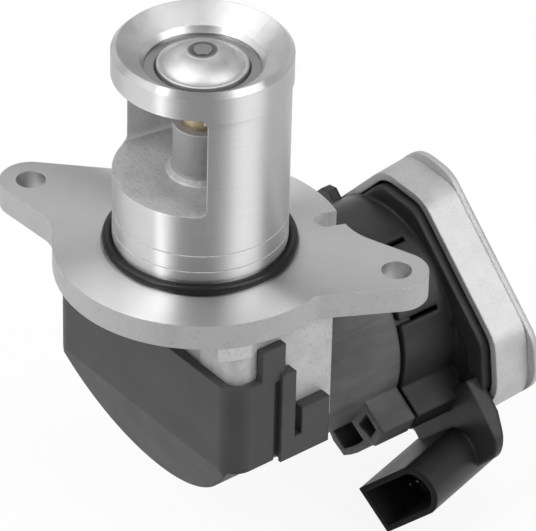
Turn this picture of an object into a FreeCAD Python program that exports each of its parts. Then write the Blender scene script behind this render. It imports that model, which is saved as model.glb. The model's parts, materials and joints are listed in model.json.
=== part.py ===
import FreeCAD, Part
import math
import os

# Exhaust gas recirculation valve with an electric drive, in millimetres, +Z up.
# The origin lies on the axis of the valve barrel, in the plane of the flange's upper face.
# The crank, the gears and the motor turn about axes along X.

V = FreeCAD.Vector
X_AXIS = V(1, 0, 0)
Y_AXIS = V(0, 1, 0)
Z_AXIS = V(0, 0, 1)

# Flange with two ears
FLANGE_R = 32.0
FLANGE_T = 6.0
EAR_REACH = 43.5
EAR_R = 7.0
EAR_HOLE_R = 3.3
EAR_ANGLES = (110.8, -52.2)
EAR_FLANKS = ((20.3, 24.3), (20.3, 24.3))
EAR_FILLETS = ((8.0, 5.0), (14.0, 5.0))
NOTCH_R = 2.6
NOTCH_REACH = 28.6
NOTCH_ANGLE = -21.5
PAD_ANGLES = (-121.0, -107.5)
PAD_DEEP = 8.0
PAD_DROP = 3.6

# Barrel, its gas window and the funnel at the mouth
BARREL_R = 19.1
BARREL_TOP = 49.8
BAND_R = 19.5
BAND_BOTTOM = 42.2
TOP_CHAMFER = 1.15
SCRIBE_HEIGHTS = (4.8, 8.9)
SCRIBE_DEPTH = 0.15
SCRIBE_WIDTH = 0.3
CHAMBER_R = 17.0
WINDOW_HALF_WIDTH = 17.05
WINDOW_ANGLE = 172.0
WINDOW_BOTTOM = 18.7
WINDOW_TOP = 43.4
CORE_FILLET = 1.5
FUNNEL_R = 18.3
FUNNEL_THROAT_R = 13.4
FUNNEL_DEPTH = 3.4

# Seat ring, valve head and stem
SEAT_R = 12.5
SEAT_BORE_R = 8.7
SEAT_TOP = 44.6
SEAT_T = 2.2
SEAT_CONE_R = 10.4
SHELF_R = 10.6
SHELF_T = 1.0
PORCH_WALL = 1.5
HEAD_R = 9.9
HEAD_RIM_DROP = 4.3
HEAD_DOME_DROP = 1.06
HEAD_FLAT_R = 3.65
HEAD_CONE_R = 8.5
SEAT_GAP = 0.05
STEM_R = 2.5
STEM_END_R = 2.05
STEM_END_RISE = 0.12
STEM_GAP = 0.04

# Guide post, bush and stem seal
POST_R = 6.2
POST_TOP = 31.0
BUSH_R = 4.5
BUSH_RISE = 3.0
BUSH_BOTTOM = 13.0
SEAL_R = 6.0
SEAL_T = 4.0

# Closing spring
SPRING_ROOM_R = 10.0
SPRING_ROOM_TOP = 6.5
SPRING_MEAN_R = 6.8
SPRING_WIRE_R = 0.8
SPRING_COILS = 5.0
RETAINER_R = 8.2
RETAINER_T = 1.6

# O-ring at the barrel foot
RING_WIRE_R = 1.2
RING_R = 20.1
RING_RECESS = 0.2
RING_RECESS_GAP = 0.15

# Crank drive: shaft axis, throw, swing and yoke
CRANK_Y = -5.5
CRANK_Z = -26.0
THROW = 6.0
SWING = 70.0
CRANK_SHAFT_R = 3.0
CRANK_HUB_R = 4.5
CRANK_EYE_R = 3.3
CRANK_ARM_T = 3.4
CRANK_PIN_R = 2.0
ROLLER_R = 3.5
ROLLER_HALF_WIDTH = 2.8
ROLLER_GAP = 0.18
YOKE_HALF_X = 3.2
YOKE_HALF_Y = 8.5
YOKE_WALL = 3.2
YOKE_HUB_R = 3.9
YOKE_HUB_H = 4.0
SHAFT_GAP = 0.03

# Cast block under the flange
BLOCK_FRONT = -13.8
BLOCK_REAR = 13.0
BLOCK_HALF_Y = 29.8
BLOCK_BOTTOM = -35.0
BLOCK_FILLET = 4.0
CAVITY_REAR = 9.0
CAVITY_HALF_Y = 18.0
CAVITY_TOP = -9.0
BEARING_R = 6.0

# Mechanism cap
CAP_WALL = 1.9
CAP_FIT = 0.2
CAP_REAR = 10.4
CAP_TOP = -16.3
CAP_FOLD = -38.5
CAP_CORNER_R = 5.0
CAP_BULGE_R = 34.0
CAP_BULGE_Z = -21.8
CAP_TILT = 15.0
TAB_TOP = -8.5
TAB_FROM = -7.9
TAB_TO = -1.6
STEP_FROM = -2.9
STEP_PROUD = 0.8
NOTCH_FROM = 0.9
NOTCH_TOP = -27.2
SLOT_BOTTOM = -34.0
SLOT_WIDTH = 1.9
CAP_GROOVE = 1.4
LUG_FROM = -12.0
LUG_TO = -5.0
LUG_PROUD = 5.0
LUG_TOP = -17.2
LUG_BOTTOM = -25.0
LUG_ROUND = 1.5

# Motor tube
TUBE_Y = -0.8
TUBE_Z = -36.8
TUBE_R = 23.0
TUBE_WALL = 1.8
TUBE_FRONT_WALL = 2.6
JOINT_X = 38.8
JOINT_GAP = 0.9
SPIGOT_STEP = 1.3
SPIGOT_LENGTH = 5.0
SCREW_R = 2.0
SCREW_HEAD_R = 3.4
SCREW_HEAD_T = 2.4
SCREW_DEPTH = 3.6
SCREW_INSET = 6.6
SCREW_ANGLES = (36.0, 74.0, 162.0)

# Motor
MOTOR_Y = 3.2
MOTOR_Z = -42.6
CAN_R = 12.5
CAN_WALL = 1.1
CAN_FRONT = 16.0
CAN_REAR = 46.5
MOTOR_BOSS_R = 4.0
BOSS_SKIN = 1.0
COLLAR_WALL = 1.6
COLLAR_FIT = 0.02
COLLAR_LENGTH = 4.0
MOTOR_SHAFT_R = 1.5
MAGNET_T = 2.3
AIR_GAP = 0.5
ARMATURE_FRONT = 22.0
ARMATURE_REAR = 38.0
WINDING_OVERHANG = 2.5
COMMUTATOR_R = 4.2
BRUSH_W = 2.4

# Gear train
MODULE = 0.8
PINION_TEETH = 12
WHEEL_TEETH = 32
SECTOR_TEETH = 30
PRESSURE_ANGLE = 20.0
ADDENDUM = 0.78
DEDENDUM = 1.12
BACKLASH = 0.16
LAY_PIN_R = 1.5
FLOOR_REAR = 55.2
FLOOR_T = 2.5
WHEEL_FACE = (55.8, 58.4)
SECTOR_FACE = (58.7, 61.3)
SECTOR_HUB_R = 6.0

# Gear housing and its aluminium cover, turned about X
CASE_TILT = 42.6
CASE_LONG = 57.3
CASE_SHORT = 53.0
CASE_START_LONG = 1.2
CASE_START_SHORT = -1.8
CASE_CHAMFER_LONG = 10.8
CASE_CHAMFER_SHORT = 9.0
CASE_CORNER_R = 8.5
SLEEVE_STEP = 0.7
SLIT_ANGLES = (154.8, 113.0)
SLIT_WIDTH = 1.3
SLIT_END = 50.0
LIP_FROM = 53.0
LIP_T = 3.2
LIP_BAND = 5.5
LIP_RECESS = 1.1
CASE_LUG_LONG = (-2.6, 4.5)
CASE_LUG_SHORT = (27.0, 36.0)
CASE_LUG_T = 2.4
COVER_FROM = 55.0
COVER_TO = 63.6
COVER_WALL = 1.8
COVER_GAP = 0.7
COVER_FLARE = 0.8
CASE_WALL = 2.0
LID_T = 2.2
LID_CHAMFER_LONG = 7.6
LID_CHAMFER_SHORT = 6.0
LID_EDGE = 1.0
SEAL_HEIGHT = 1.6
BOARD_T = 0.8
BOARD_HALF_W = 9.0
BOARD_HALF_H = 7.0
MAGNET_DISC_T = 1.0

# Lower rib of the motor tube and gear housing
RIB_FROM = 29.0
RIB_SKIN_RISE = 6.8
RIB_SKIN_T = 1.7
RIB_POCKET = 7.0
RIB_ROOT = 0.6

# Connector
PLUG_TURN = 15.5
PLUG_ROLL = 43.7
PLUG_MOUTH = (31.9, -33.6, -65.0)
PLUG_LONG = 16.0
PLUG_ROUND = 4.6
PLUG_HEIGHT = 11.8
PLUG_LENGTH = 26.5
NECK_FROM = 50.4
NECK_TO = 54.4
NECK_LONG = (52.0, 70.0)
NECK_SHORT = (8.5, 37.0)
NECK_R = 5.0
NECK_THIN = 1.4
NECK_THIN_FROM = 61.0
PLUG_WALL = 1.3
SOCKET_DEPTH = 15.0
PIN_COUNT = 5
PIN_PITCH = 2.6
PIN_SIZE = (0.6, 0.6)
PIN_LENGTH = 6.0


def rod_z(r, z0, z1, x=0.0, y=0.0):
    return Part.makeCylinder(r, z1 - z0, V(x, y, z0), Z_AXIS)


def rod_x(r, x0, x1, y=0.0, z=0.0):
    return Part.makeCylinder(r, x1 - x0, V(x0, y, z), X_AXIS)


def tube_x(r_out, r_in, x0, x1, y=0.0, z=0.0):
    return rod_x(r_out, x0, x1, y, z).cut(rod_x(r_in, x0, x1, y, z))


def box(x0, x1, y0, y1, z0, z1):
    return Part.makeBox(x1 - x0, y1 - y0, z1 - z0, V(x0, y0, z0))


def spin_z(outline):
    """Solid turned about Z from (radius, height) points."""
    points = [V(r, 0, z) for r, z in outline]
    face = Part.Face(Part.makePolygon(points + points[:1]))
    return face.revolve(V(0, 0, 0), Z_AXIS, 360)


def spin_x(outline, y, z):
    """Solid turned about an axis along X at (y, z), from (x, radius) points."""
    points = [V(x, y, z + r) for x, r in outline]
    face = Part.Face(Part.makePolygon(points + points[:1]))
    return face.revolve(V(0, y, z), X_AXIS, 360)


def prism_x(points_yz, x0, x1):
    """Straight-sided solid along X from (y, z) points."""
    points = [V(x0, y, z) for y, z in points_yz]
    face = Part.Face(Part.makePolygon(points + points[:1]))
    return face.extrude(V(x1 - x0, 0, 0))


def fuse(first, *others):
    for other in others:
        first = first.fuse(other)
    return first.removeSplitter()


def polar(r, degrees):
    a = math.radians(degrees)
    return r * math.cos(a), r * math.sin(a)


def fillet_where(shape, radius, chosen):
    edges = [e for e in shape.Edges if chosen(e)]
    return shape.makeFillet(radius, edges) if edges else shape


def is_vertical(edge, length):
    a, b = edge.Vertexes[0].Point, edge.Vertexes[-1].Point
    return math.hypot(a.x - b.x, a.y - b.y) < 0.001 and abs(abs(a.z - b.z) - length) < 0.01


# Positions that follow from the driving dimensions
FLANGE_BOTTOM = -FLANGE_T
CHAMBER_TOP = SEAT_TOP - SEAT_T - SHELF_T
PITCH_PINION = MODULE * PINION_TEETH / 2
PITCH_WHEEL = MODULE * WHEEL_TEETH / 2
PITCH_SECTOR = MODULE * SECTOR_TEETH / 2
HALF_SWING = math.radians(SWING / 2)
LIFT = 2 * THROW * math.sin(HALF_SWING)
PIN_Y = CRANK_Y + THROW * math.cos(HALF_SWING)
PIN_Z = CRANK_Z - THROW * math.sin(HALF_SWING)
SLOT_HALF_Z = ROLLER_R + ROLLER_GAP
YOKE_TOP = PIN_Z + SLOT_HALF_Z + YOKE_WALL
RETAINER_BOTTOM = YOKE_TOP + YOKE_HUB_H
RETAINER_TOP = RETAINER_BOTTOM + RETAINER_T
HEAD_RIM = BARREL_TOP - HEAD_RIM_DROP
HEAD_TOP = BARREL_TOP - HEAD_DOME_DROP
CAP_FRONT = BLOCK_FRONT - CAP_FIT - CAP_WALL
CAP_HALF_Y = BLOCK_HALF_Y + CAP_FIT + CAP_WALL
TUBE_BORE_R = TUBE_R - TUBE_WALL
SPIGOT_R = TUBE_R - SPIGOT_STEP
RIB_SKIN_R = TUBE_R + RIB_SKIN_RISE
SLEEVE_R = TUBE_R + SLEEVE_STEP
RIB_ROOT_R = TUBE_R - RIB_ROOT
SCREW_CIRCLE_R = TUBE_R - SCREW_INSET
TUBE_WALL_END = BLOCK_REAR + TUBE_FRONT_WALL
CAN_BORE_R = CAN_R - CAN_WALL
MAGNET_BORE_R = CAN_BORE_R - MAGNET_T
ARMATURE_R = MAGNET_BORE_R - AIR_GAP
ARM_FRONT = YOKE_HALF_X + 0.8
ARM_REAR = ARM_FRONT + CRANK_ARM_T
FLOOR_FRONT = FLOOR_REAR - FLOOR_T
LID_FRONT = COVER_TO


def layshaft_centre():
    """Point at the two centre distances from the crankshaft and the motor shaft."""
    to_crank = PITCH_SECTOR + PITCH_PINION
    to_motor = PITCH_WHEEL + PITCH_PINION
    dy, dz = MOTOR_Y - CRANK_Y, MOTOR_Z - CRANK_Z
    apart = math.hypot(dy, dz)
    along = (apart ** 2 + to_crank ** 2 - to_motor ** 2) / (2 * apart)
    aside = math.sqrt(to_crank ** 2 - along ** 2)
    uy, uz = dy / apart, dz / apart
    return CRANK_Y + along * uy + aside * uz, CRANK_Z + along * uz - aside * uy


LAY_Y, LAY_Z = layshaft_centre()
LAY_FROM_CRANK = math.degrees(math.atan2(LAY_Z - CRANK_Z, LAY_Y - CRANK_Y))
LAY_FROM_MOTOR = math.degrees(math.atan2(LAY_Z - MOTOR_Z, LAY_Y - MOTOR_Y))


# Flange
def flange_plan():
    """Disc with two tapered ears, filleted where an ear meets the disc."""
    plate = rod_z(FLANGE_R, FLANGE_BOTTOM, 0)
    corners = []
    for angle, flanks, radii in zip(EAR_ANGLES, EAR_FLANKS, EAR_FILLETS):
        a = math.radians(angle)
        centre = V(EAR_REACH * math.cos(a), EAR_REACH * math.sin(a), FLANGE_BOTTOM)
        quad = []
        for side, flank, radius in zip((1, -1), flanks, radii):
            tip = a + side * math.acos((flank - EAR_R) / EAR_REACH)
            out = V(math.cos(tip), math.sin(tip), 0)
            quad.append((V(0, 0, FLANGE_BOTTOM) + out * flank, centre + out * EAR_R))
            along = math.sqrt(FLANGE_R ** 2 - flank ** 2)
            run = (quad[-1][1] - quad[-1][0]).normalize()
            corners.append((V(0, 0, FLANGE_BOTTOM) + out * flank + run * along, radius))
        loop = [quad[0][0], quad[0][1], quad[1][1], quad[1][0], V(0, 0, FLANGE_BOTTOM)]
        arm = Part.Face(Part.makePolygon(loop + loop[:1])).extrude(V(0, 0, FLANGE_T))
        tip_disc = Part.makeCylinder(EAR_R, FLANGE_T, centre, Z_AXIS)
        plate = plate.fuse(arm).fuse(tip_disc)
    plate = plate.removeSplitter()

    def at_corner(spot):
        def chosen(edge):
            p = edge.Vertexes[0].Point
            return is_vertical(edge, FLANGE_T) and math.hypot(p.x - spot.x, p.y - spot.y) < 0.1

        return chosen

    for spot, radius in corners:
        plate = fillet_where(plate, radius, at_corner(spot))
    for angle in EAR_ANGLES:
        x, y = polar(EAR_REACH, angle)
        plate = plate.cut(rod_z(EAR_HOLE_R, FLANGE_BOTTOM, 0, x, y))
    x, y = polar(NOTCH_REACH, NOTCH_ANGLE)
    slot = rod_z(NOTCH_R, FLANGE_BOTTOM, 0, x, y)
    lane = box(0, FLANGE_R, -NOTCH_R, NOTCH_R, FLANGE_BOTTOM, 0)
    lane.Placement = FreeCAD.Placement(V(x, y, 0), FreeCAD.Rotation(Z_AXIS, NOTCH_ANGLE))
    return plate.cut(slot).cut(lane)


def flange_pad():
    """Small pad below the flange, flush with its rim."""
    low = FLANGE_BOTTOM - PAD_DROP
    disc = rod_z(FLANGE_R, low, FLANGE_BOTTOM).cut(rod_z(FLANGE_R - PAD_DEEP, low, FLANGE_BOTTOM))
    reach = 2 * FLANGE_R
    corners = [V(0, 0, low)] + [V(*polar(reach, a), low) for a in PAD_ANGLES]
    fan = Part.Face(Part.makePolygon(corners + corners[:1])).extrude(V(0, 0, PAD_DROP))
    return disc.common(fan)


# Barrel
def barrel_solid():
    outline = [(0, 0), (RING_R - RING_WIRE_R, 0), (RING_R - RING_WIRE_R, 2 * RING_WIRE_R)]
    outline.append((BARREL_R, 2 * RING_WIRE_R))
    for z in SCRIBE_HEIGHTS:
        half = SCRIBE_WIDTH / 2
        outline += [(BARREL_R, z - half), (BARREL_R - SCRIBE_DEPTH, z)]
        outline += [(BARREL_R, z + half)]
    outline += [(BARREL_R, BAND_BOTTOM), (BAND_R, BAND_BOTTOM)]
    outline += [(BAND_R, BARREL_TOP - TOP_CHAMFER), (BAND_R - TOP_CHAMFER, BARREL_TOP)]
    outline += [(0, BARREL_TOP)]
    return spin_z(outline)


def mouth_cut():
    """Funnel, steep throat, seat ring pocket and the shelf below it."""
    throat = BARREL_TOP - FUNNEL_DEPTH
    shelf = SEAT_TOP - SEAT_T
    outline = [(0, BARREL_TOP + 1), (FUNNEL_R + 1.44, BARREL_TOP + 1), (FUNNEL_THROAT_R, throat)]
    outline += [(SEAT_R, SEAT_TOP + 0.4), (SEAT_R, shelf), (SHELF_R, shelf)]
    outline += [(SHELF_R, CHAMBER_TOP - 1), (0, CHAMBER_TOP - 1)]
    return spin_z(outline)


def window_cut():
    """Gas chamber with its parallel-walled window, leaving the guide post.

    The window is taller outside the ring of metal that holds the seat.
    """
    turn = FreeCAD.Placement(V(0, 0, 0), FreeCAD.Rotation(Z_AXIS, WINDOW_ANGLE))
    core = rod_z(CHAMBER_R, WINDOW_BOTTOM, CHAMBER_TOP)
    lane = box(0, BARREL_R + 2, -WINDOW_HALF_WIDTH, WINDOW_HALF_WIDTH, WINDOW_BOTTOM, CHAMBER_TOP)
    porch = box(0, BARREL_R + 2, -WINDOW_HALF_WIDTH, WINDOW_HALF_WIDTH, WINDOW_BOTTOM, WINDOW_TOP)
    porch = porch.cut(rod_z(SEAT_R + PORCH_WALL, WINDOW_BOTTOM - 1, WINDOW_TOP + 1))
    lane.Placement = turn
    porch.Placement = turn
    core = fuse(core, lane, porch).removeSplitter()

    def level_edge(edge):
        box_ = edge.BoundBox
        flat = box_.ZLength < 0.001
        return flat and abs(box_.ZMin - WINDOW_BOTTOM) < 0.01

    core = fillet_where(core, CORE_FILLET, level_edge)
    foot = WINDOW_BOTTOM
    post = spin_z([(0, foot - 1), (POST_R + CORE_FILLET, foot - 1), (POST_R + CORE_FILLET, foot),
                   (POST_R, foot + CORE_FILLET), (POST_R, POST_TOP), (0, POST_TOP)])
    return core.cut(post)


# Cast valve body
def block_solid():
    block = box(BLOCK_FRONT, BLOCK_REAR, -BLOCK_HALF_Y, BLOCK_HALF_Y, BLOCK_BOTTOM, FLANGE_BOTTOM)
    height = FLANGE_BOTTOM - BLOCK_BOTTOM

    def front_corner(edge):
        return is_vertical(edge, height) and edge.Vertexes[0].Point.x < 0

    block = fillet_where(block, BLOCK_FILLET, front_corner)
    cavity = box(BLOCK_FRONT, CAVITY_REAR, -CAVITY_HALF_Y, CAVITY_HALF_Y, BLOCK_BOTTOM, CAVITY_TOP)
    return block.cut(cavity)


def stem_passage():
    """Spring room, seal pocket, stem clearance and bush bore, from below."""
    passage = rod_z(SPRING_ROOM_R, CAVITY_TOP - 1, SPRING_ROOM_TOP)
    passage = passage.fuse(rod_z(SEAL_R, SPRING_ROOM_TOP, SPRING_ROOM_TOP + SEAL_T))
    passage = passage.fuse(rod_z(STEM_R + 0.6, SPRING_ROOM_TOP, BUSH_BOTTOM))
    return passage.fuse(rod_z(BUSH_R, BUSH_BOTTOM, POST_TOP))


def ring_recess():
    """Shallow turned seat for the O-ring in the flange's face."""
    outer = RING_R + RING_WIRE_R + RING_RECESS_GAP
    disc = rod_z(outer, -RING_RECESS, 1)
    return disc.cut(rod_z(RING_R - RING_WIRE_R, -RING_RECESS - 1, 2))


def valve_body():
    flange = flange_plan().cut(ring_recess())
    body = fuse(flange, barrel_solid(), flange_pad(), block_solid())
    body = body.cut(mouth_cut())
    body = body.cut(window_cut())
    body = body.cut(stem_passage())
    body = body.cut(rod_x(BEARING_R, CAVITY_REAR, BLOCK_REAR, CRANK_Y, CRANK_Z))
    for angle in SCREW_ANGLES:
        y, z = polar(SCREW_CIRCLE_R, angle)
        hole = rod_x(SCREW_R, BLOCK_REAR - SCREW_DEPTH, BLOCK_REAR, TUBE_Y + y, TUBE_Z + z)
        body = body.cut(hole)
    return body.removeSplitter()


# Valve group
def seat_ring():
    cone_foot = SEAT_TOP - (SEAT_CONE_R - SEAT_BORE_R)
    return spin_z([(SEAT_BORE_R, SEAT_TOP - SEAT_T), (SEAT_R, SEAT_TOP - SEAT_T), (SEAT_R, SEAT_TOP),
                   (SEAT_CONE_R, SEAT_TOP), (SEAT_BORE_R, cone_foot)])


def valve_head():
    cone_top = SEAT_TOP - (SEAT_CONE_R - HEAD_R) + SEAT_GAP
    cone_foot = cone_top - (HEAD_R - SEAT_BORE_R)
    outline = [(STEM_END_R, HEAD_TOP), (HEAD_FLAT_R, HEAD_TOP), (HEAD_FLAT_R + 1.6, HEAD_TOP - 0.6)]
    outline += [(HEAD_CONE_R, HEAD_RIM - 0.1), (HEAD_CONE_R + 0.35, HEAD_RIM - 0.1)]
    outline += [(HEAD_CONE_R + 0.5, HEAD_RIM), (HEAD_R - 0.25, HEAD_RIM), (HEAD_R, HEAD_RIM - 0.25)]
    outline += [(HEAD_R, cone_top), (SEAT_BORE_R, cone_foot), (5.2, cone_foot - 1.3)]
    outline += [(3.4, cone_foot - 2.8), (STEM_R, cone_foot - 4.6), (STEM_END_R, cone_foot - 4.6)]
    return spin_z(outline)


def valve_stem():
    shoulder = SEAT_TOP - (SEAT_CONE_R - HEAD_R) + SEAT_GAP - (HEAD_R - SEAT_BORE_R) - 4.6
    outline = [(0, YOKE_TOP), (STEM_R, YOKE_TOP), (STEM_R, shoulder), (STEM_END_R, shoulder)]
    outline += [(STEM_END_R, HEAD_TOP + STEM_END_RISE), (0, HEAD_TOP + STEM_END_RISE)]
    return spin_z(outline)


def guide_bush():
    top = POST_TOP + BUSH_RISE
    bore = STEM_R + STEM_GAP
    return spin_z([(bore, BUSH_BOTTOM), (BUSH_R, BUSH_BOTTOM), (BUSH_R, top - 0.6),
                   (BUSH_R - 0.6, top), (bore, top)])


def stem_seal():
    bore = STEM_R + STEM_GAP
    return rod_z(SEAL_R, SPRING_ROOM_TOP, SPRING_ROOM_TOP + SEAL_T).cut(
        rod_z(bore, SPRING_ROOM_TOP, SPRING_ROOM_TOP + SEAL_T))


def spring_retainer():
    collar = spin_z([(STEM_R, RETAINER_BOTTOM), (RETAINER_R, RETAINER_BOTTOM), (RETAINER_R, RETAINER_TOP),
                     (SPRING_MEAN_R - 2.2, RETAINER_TOP), (SPRING_MEAN_R - 2.2, RETAINER_TOP + 1.2),
                     (STEM_R, RETAINER_TOP + 1.2)])
    return collar


def closing_spring():
    low = RETAINER_TOP + SPRING_WIRE_R
    high = SPRING_ROOM_TOP - SPRING_WIRE_R
    pitch = (high - low) / SPRING_COILS
    helix = Part.makeHelix(pitch, high - low, SPRING_MEAN_R)
    helix.translate(V(0, 0, low))
    start = V(SPRING_MEAN_R, 0, low)
    section = Part.Wire([Part.makeCircle(SPRING_WIRE_R, start, Y_AXIS)])
    return Part.Wire(helix.Edges).makePipeShell([section], True, True)


def yoke():
    """Hub on the stem over a plate with the roller's cross slot."""
    half_z = SLOT_HALF_Z + YOKE_WALL
    plate = box(-YOKE_HALF_X, YOKE_HALF_X, -YOKE_HALF_Y, YOKE_HALF_Y, PIN_Z - half_z, PIN_Z + half_z)
    side = THROW - THROW * math.cos(HALF_SWING) + ROLLER_R + 0.4
    slot = box(-YOKE_HALF_X, YOKE_HALF_X, -side, side, PIN_Z - SLOT_HALF_Z, PIN_Z + SLOT_HALF_Z)
    plate = plate.cut(slot)

    def outer_corner(edge):
        p, q = edge.Vertexes[0].Point, edge.Vertexes[-1].Point
        along_x = abs(p.y - q.y) < 0.001 and abs(p.z - q.z) < 0.001
        return along_x and abs(abs(p.y) - YOKE_HALF_Y) < 0.01

    plate = fillet_where(plate, 2.0, outer_corner)
    hub = rod_z(YOKE_HUB_R, YOKE_TOP - 0.5, YOKE_TOP + YOKE_HUB_H)
    return fuse(plate, hub).cut(rod_z(STEM_R, YOKE_TOP, YOKE_TOP + YOKE_HUB_H))


# Crank group
def crankshaft():
    """Shaft, thrust collar, tapered arm and crank pin in one forging."""
    shaft = rod_x(CRANK_SHAFT_R, ARM_FRONT, SECTOR_FACE[1], CRANK_Y, CRANK_Z)
    collar = rod_x(CRANK_HUB_R, ARM_FRONT, CAVITY_REAR - 0.1, CRANK_Y, CRANK_Z)
    eye = rod_x(CRANK_EYE_R, ARM_FRONT, ARM_REAR, PIN_Y, PIN_Z)
    lean = math.asin((CRANK_HUB_R - CRANK_EYE_R) / THROW)
    sides = []
    for side in (1, -1):
        a = -HALF_SWING + side * (math.pi / 2 - lean)
        out_y, out_z = math.cos(a), math.sin(a)
        sides.append((CRANK_Y + CRANK_HUB_R * out_y, CRANK_Z + CRANK_HUB_R * out_z))
        sides.append((PIN_Y + CRANK_EYE_R * out_y, PIN_Z + CRANK_EYE_R * out_z))
    web = prism_x([sides[0], sides[1], sides[3], sides[2]], ARM_FRONT, ARM_REAR)
    pin = rod_x(CRANK_PIN_R, -ROLLER_HALF_WIDTH, ARM_FRONT, PIN_Y, PIN_Z)
    return fuse(shaft, collar, eye, web, pin)


def crank_roller():
    return tube_x(ROLLER_R, CRANK_PIN_R + SHAFT_GAP, -ROLLER_HALF_WIDTH, ROLLER_HALF_WIDTH, PIN_Y, PIN_Z)


def front_bearing():
    return tube_x(BEARING_R, CRANK_SHAFT_R + SHAFT_GAP, CAVITY_REAR, BLOCK_REAR, CRANK_Y, CRANK_Z)


def shaft_seal():
    wall = TUBE_WALL_END
    return tube_x(BEARING_R, CRANK_SHAFT_R + SHAFT_GAP, BLOCK_REAR, wall, CRANK_Y, CRANK_Z)


def rear_bearing():
    return tube_x(BEARING_R, CRANK_SHAFT_R + SHAFT_GAP, FLOOR_FRONT, FLOOR_REAR, CRANK_Y, CRANK_Z)


# Gears
def tooth_half_angle(teeth, radius, thin):
    pitch = MODULE * teeth / 2
    base = pitch * math.cos(math.radians(PRESSURE_ANGLE))

    def involute(angle):
        return math.tan(angle) - angle

    at_pitch = (math.pi * MODULE / 2 - thin) / (2 * pitch)
    reach = max(radius, base)
    return at_pitch + involute(math.radians(PRESSURE_ANGLE)) - involute(math.acos(base / reach))


def gear_face(teeth, y, z, x, first_tooth):
    """Spur gear outline in the plane at x, with a tooth centred on first_tooth degrees."""
    pitch = MODULE * teeth / 2
    root = pitch - DEDENDUM * MODULE
    tip = pitch + ADDENDUM * MODULE
    steps = [root, pitch - 0.35 * MODULE, pitch + 0.25 * MODULE, tip]
    points = []
    for k in range(teeth):
        middle = math.radians(first_tooth) + 2 * math.pi * k / teeth
        rising = [(r, middle - tooth_half_angle(teeth, r, BACKLASH / 2)) for r in steps]
        falling = [(r, 2 * middle - a) for r, a in reversed(rising)]
        points += [V(x, y + r * math.cos(a), z + r * math.sin(a)) for r, a in rising + falling]
    return Part.Face(Part.makePolygon(points + points[:1]))


def spur_gear(teeth, y, z, x0, x1, first_tooth):
    return gear_face(teeth, y, z, x0, first_tooth).extrude(V(x1 - x0, 0, 0))


def motor_pinion():
    gear = spur_gear(PINION_TEETH, MOTOR_Y, MOTOR_Z, WHEEL_FACE[0], WHEEL_FACE[1], LAY_FROM_MOTOR)
    return gear.cut(rod_x(MOTOR_SHAFT_R, WHEEL_FACE[0], WHEEL_FACE[1], MOTOR_Y, MOTOR_Z))


def layshaft_gear():
    half_wheel = 180.0 / WHEEL_TEETH
    half_pinion = 180.0 / PINION_TEETH
    wheel = spur_gear(WHEEL_TEETH, LAY_Y, LAY_Z, WHEEL_FACE[0], WHEEL_FACE[1],
                      LAY_FROM_MOTOR + 180 + half_wheel)
    pinion = spur_gear(PINION_TEETH, LAY_Y, LAY_Z, WHEEL_FACE[1], SECTOR_FACE[1],
                       LAY_FROM_CRANK + 180 + half_pinion)
    gear = fuse(wheel, pinion)
    return gear.cut(rod_x(LAY_PIN_R + SHAFT_GAP, WHEEL_FACE[0], SECTOR_FACE[1], LAY_Y, LAY_Z))


def layshaft_pin():
    return rod_x(LAY_PIN_R, FLOOR_FRONT, LID_FRONT, LAY_Y, LAY_Z)


def sector_gear():
    """Toothed sector that stays in mesh over the whole swing, on a hub."""
    gear = spur_gear(SECTOR_TEETH, CRANK_Y, CRANK_Z, SECTOR_FACE[0], SECTOR_FACE[1], LAY_FROM_CRANK)
    pitch_angle = 360.0 / SECTOR_TEETH
    spare = 1.5 * pitch_angle
    low = LAY_FROM_CRANK - math.ceil(SWING / pitch_angle) * pitch_angle - spare
    high = LAY_FROM_CRANK + spare
    reach = PITCH_SECTOR * 2
    fan = [(0, 0)] + [polar(reach, low + (high - low) * k / 4) for k in range(5)]
    wedge = prism_x([(CRANK_Y + a, CRANK_Z + b) for a, b in fan], SECTOR_FACE[0], SECTOR_FACE[1])
    hub = rod_x(SECTOR_HUB_R, SECTOR_FACE[0], SECTOR_FACE[1], CRANK_Y, CRANK_Z)
    part = fuse(gear.common(wedge), hub)
    return part.cut(rod_x(CRANK_SHAFT_R, SECTOR_FACE[0], SECTOR_FACE[1], CRANK_Y, CRANK_Z))


def sensor_magnet():
    return rod_x(CRANK_SHAFT_R + 1, SECTOR_FACE[1], SECTOR_FACE[1] + MAGNET_DISC_T, CRANK_Y, CRANK_Z)


# Mechanism cap
def cap_plan(half_y, front, rear, corner, z0, z1):
    """Box with its two front corners rounded."""
    shell = box(front, rear, -half_y, half_y, z0, z1)

    def front_corner(edge):
        return is_vertical(edge, z1 - z0) and edge.Vertexes[0].Point.x < front + 0.01

    return fillet_where(shell, corner, front_corner)


def cap_bulge(radius, half_y, front, rear, corner):
    """Round belly below the fold, with its face leaning back."""
    belly = rod_x(radius, front, rear, 0, CAP_BULGE_Z)
    lean = math.tan(math.radians(CAP_TILT))
    low = CAP_BULGE_Z - radius
    side = [V(front, 0, CAP_FOLD), V(rear, 0, CAP_FOLD), V(rear, 0, low), V(front + (CAP_FOLD - low) * lean, 0, low)]
    wedge = Part.Face(Part.makePolygon(side + side[:1]))
    wedge.translate(V(0, -half_y, 0))
    wedge = wedge.extrude(V(0, 2 * half_y, 0))
    return belly.common(wedge).common(cap_plan(half_y, front, rear, corner, low, CAP_FOLD))


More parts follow.
